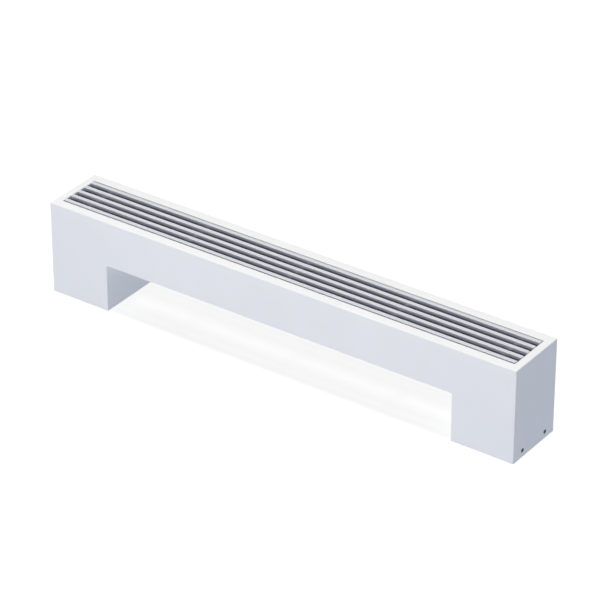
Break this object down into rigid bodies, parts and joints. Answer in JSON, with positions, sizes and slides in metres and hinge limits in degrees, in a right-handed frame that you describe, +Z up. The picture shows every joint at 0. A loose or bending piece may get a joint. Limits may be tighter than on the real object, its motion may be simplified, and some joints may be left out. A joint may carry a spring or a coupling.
{
  "type": "floor convector",
  "caption": "Low bench-shaped floor convector: white folded-sheet casing on two closed legs, linear bar grille in the top, water-heated finned exchanger and valves inside.",
  "frame": {"origin": "on the floor, under the middle of the casing", "axes": "+X along the casing towards the end with the turning header, -Y the front, +Z up"},
  "size_m": [1, 0.13, 0.186],
  "materials": {
    "powder_coated_steel": "white powder coat, satin",
    "galvanised_steel": "zinc-plated",
    "black_steel": "black oxide",
    "anodised_aluminium": "satin anodised, natural",
    "black_rubber": "matt black",
    "black_fins": "matt black lacquer",
    "copper": "bare copper tube",
    "brass": "machined brass",
    "nickel_plated_brass": "nickel-plated",
    "plug_plastic": "moulded",
    "knob_plastic": "moulded, satin white-grey"
  },
  "bodies": {
    "casing": {"front_panel": "powder_coated_steel", "rear_panel": "powder_coated_steel", "left_end_panel": "powder_coated_steel", "right_end_panel": "powder_coated_steel", "left_leg_inner_panel": "powder_coated_steel", "right_leg_inner_panel": "powder_coated_steel", "left_floor_bracket": "galvanised_steel", "right_floor_bracket": "galvanised_steel", "left_casing_screws": "black_steel", "right_casing_screws": "black_steel", "front_rest_strip": "black_rubber", "rear_rest_strip": "black_rubber", "fin_pack": "black_fins", "supply_tube": "copper", "return_tube": "copper", "turning_header": "brass", "left_exchanger_plate": "galvanised_steel", "right_exchanger_plate": "galvanised_steel", "tube_grommets": "black_rubber", "exchanger_plate_screws": "galvanised_steel", "air_vent_body": "nickel_plated_brass", "supply_tailpiece": "nickel_plated_brass", "return_tailpiece": "nickel_plated_brass", "union_gaskets": "black_rubber", "supply_union_nut": "nickel_plated_brass", "return_union_nut": "nickel_plated_brass", "supply_valve_body": "nickel_plated_brass", "return_valve_body": "nickel_plated_brass", "supply_valve_insert": "brass", "return_valve_insert": "brass"},
    "grille": {"grille_bar_1": "anodised_aluminium", "grille_bar_2": "anodised_aluminium", "grille_bar_3": "anodised_aluminium", "grille_bar_4": "anodised_aluminium", "grille_bar_5": "anodised_aluminium", "grille_tie_rods": "anodised_aluminium", "grille_spacers": "anodised_aluminium"},
    "handwheel": {"handwheel": "knob_plastic", "handwheel_screw": "galvanised_steel", "supply_spindle": "brass"},
    "supply_plug": {"supply_plug": "plug_plastic"},
    "lockshield_cap": {"lockshield_cap": "knob_plastic"},
    "return_spindle": {"return_spindle": "brass"},
    "return_plug": {"return_plug": "plug_plastic"},
    "air_vent_screw": {"air_vent_screw": "brass"}
  },
  "joints": [
    {"name": "grille_lift", "type": "slide", "parent": "casing", "child": "grille", "axis": [0, 0, 1], "range_m": [0, 0.04]},
    {"name": "handwheel_turn", "type": "hinge", "parent": "casing", "child": "handwheel", "pos_m": [-0.4365, -0.024, 0.146], "axis": [0, 0, -1], "range_deg": [0, 340]},
    {"name": "supply_plug_travel", "type": "slide", "parent": "casing", "child": "supply_plug", "axis": [0, 0, -1], "range_m": [0, 0.0025]},
    {"name": "lockshield_cap_pull", "type": "slide", "parent": "casing", "child": "lockshield_cap", "axis": [0, 0, 1], "range_m": [0, 0.012]},
    {"name": "return_spindle_turn", "type": "hinge", "parent": "casing", "child": "return_spindle", "pos_m": [-0.4365, 0.024, 0.135], "axis": [0, 0, -1], "range_deg": [0, 1080]},
    {"name": "return_plug_travel", "type": "slide", "parent": "casing", "child": "return_plug", "axis": [0, 0, -1], "range_m": [0, 0.0025]},
    {"name": "air_vent_turn", "type": "hinge", "parent": "casing", "child": "air_vent_screw", "pos_m": [0.38, 0, 0.14], "axis": [0, 0, 1], "range_deg": [0, 270]}
  ],
  "couplings": [
    {"joint": "supply_plug_travel", "follows": "handwheel_turn", "m_per_rad": 0.00042129},
    {"joint": "return_spindle_turn", "follows": "return_plug_travel", "rad_per_m": 7539.8}
  ]
}
